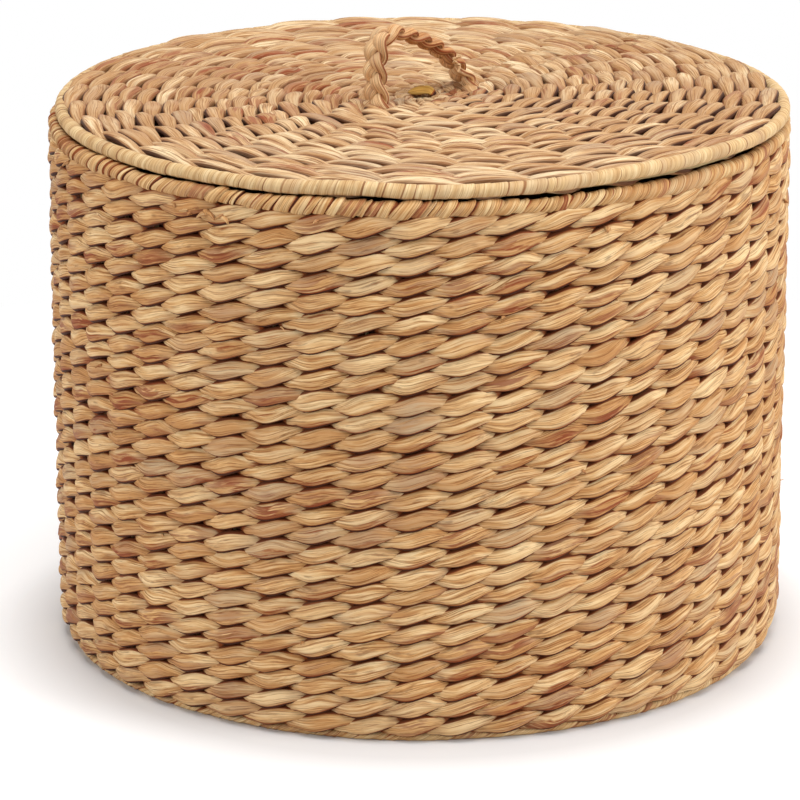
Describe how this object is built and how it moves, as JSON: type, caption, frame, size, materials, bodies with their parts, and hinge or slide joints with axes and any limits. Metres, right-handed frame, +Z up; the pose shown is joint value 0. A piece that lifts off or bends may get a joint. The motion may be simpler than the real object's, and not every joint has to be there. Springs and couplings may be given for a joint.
{
  "type": "laundry basket",
  "caption": "Round lidded laundry basket twined from dried plant strands, with a flat lift-off lid and a plaited grab handle on the lid.",
  "frame": {"origin": "centre of the underside of the foot binding, on the floor", "axes": "+Z up through the centre of the lid; the span of the handle lies along X, with its upright leg at -X"},
  "size_m": [0.4786, 0.4796, 0.4052],
  "materials": {
    "strands": "dried plant strand, dull with a slight sheen",
    "strands_inside": "dried plant strand, dull",
    "wrapping": "flat plant strip, smooth",
    "sticks": "peeled thin sticks",
    "plait": "plaited plant strands",
    "start_leaf": "greener dried leaf"
  },
  "bodies": {
    "basket": {"body_frame": "sticks", "wall_outer_weave": "strands", "wall_inner_weave": "strands_inside", "rim_binding": "wrapping", "foot_binding": "wrapping", "base_lower_weave": "strands_inside", "base_upper_weave": "strands_inside"},
    "lid": {"lid_frame": "sticks", "lid_upper_weave": "strands", "lid_lower_weave": "strands_inside", "lid_binding": "wrapping", "lid_centre_start": "start_leaf", "handle_strand_a": "plait", "handle_strand_b": "plait", "handle_strand_c": "plait", "handle_collar_front": "wrapping", "handle_collar_back": "wrapping"}
  },
  "joints": [
    {"name": "lid_lift", "type": "slide", "parent": "basket", "child": "lid", "axis": [0, 0, 1], "range_m": [0, 0.4]}
  ]
}
